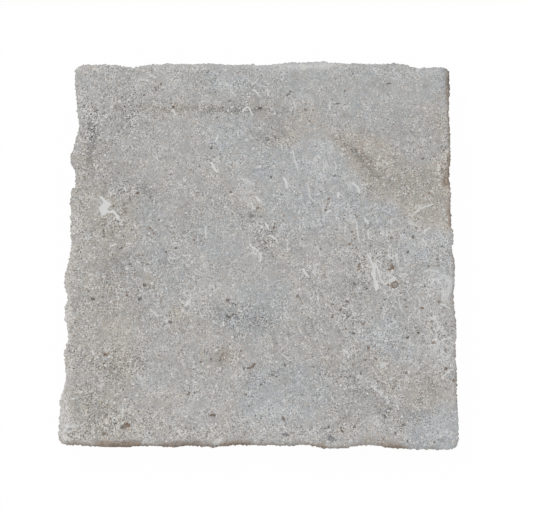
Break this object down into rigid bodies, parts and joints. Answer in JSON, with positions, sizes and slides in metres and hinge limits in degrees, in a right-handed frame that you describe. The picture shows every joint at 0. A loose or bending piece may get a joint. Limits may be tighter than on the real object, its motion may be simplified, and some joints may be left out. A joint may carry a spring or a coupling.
{
  "type": "limestone tile",
  "caption": "Square grey limestone tile, tumbled, with worn wavy edges, small spalls, fossil shells and pits in its honed face",
  "frame": {"origin": "middle of the tile's outline, on the level of its bed", "axes": "+Z out of the honed face, +Y to the side at the top of the picture, +X to the side at its right"},
  "size_m": [0.2016, 0.204, 0.02],
  "materials": {
    "limestone": "honed and tumbled, matt, with brown stain on the east and south edges"
  },
  "bodies": {
    "root": {"limestone_tile": "limestone"}
  },
  "joints": []
}
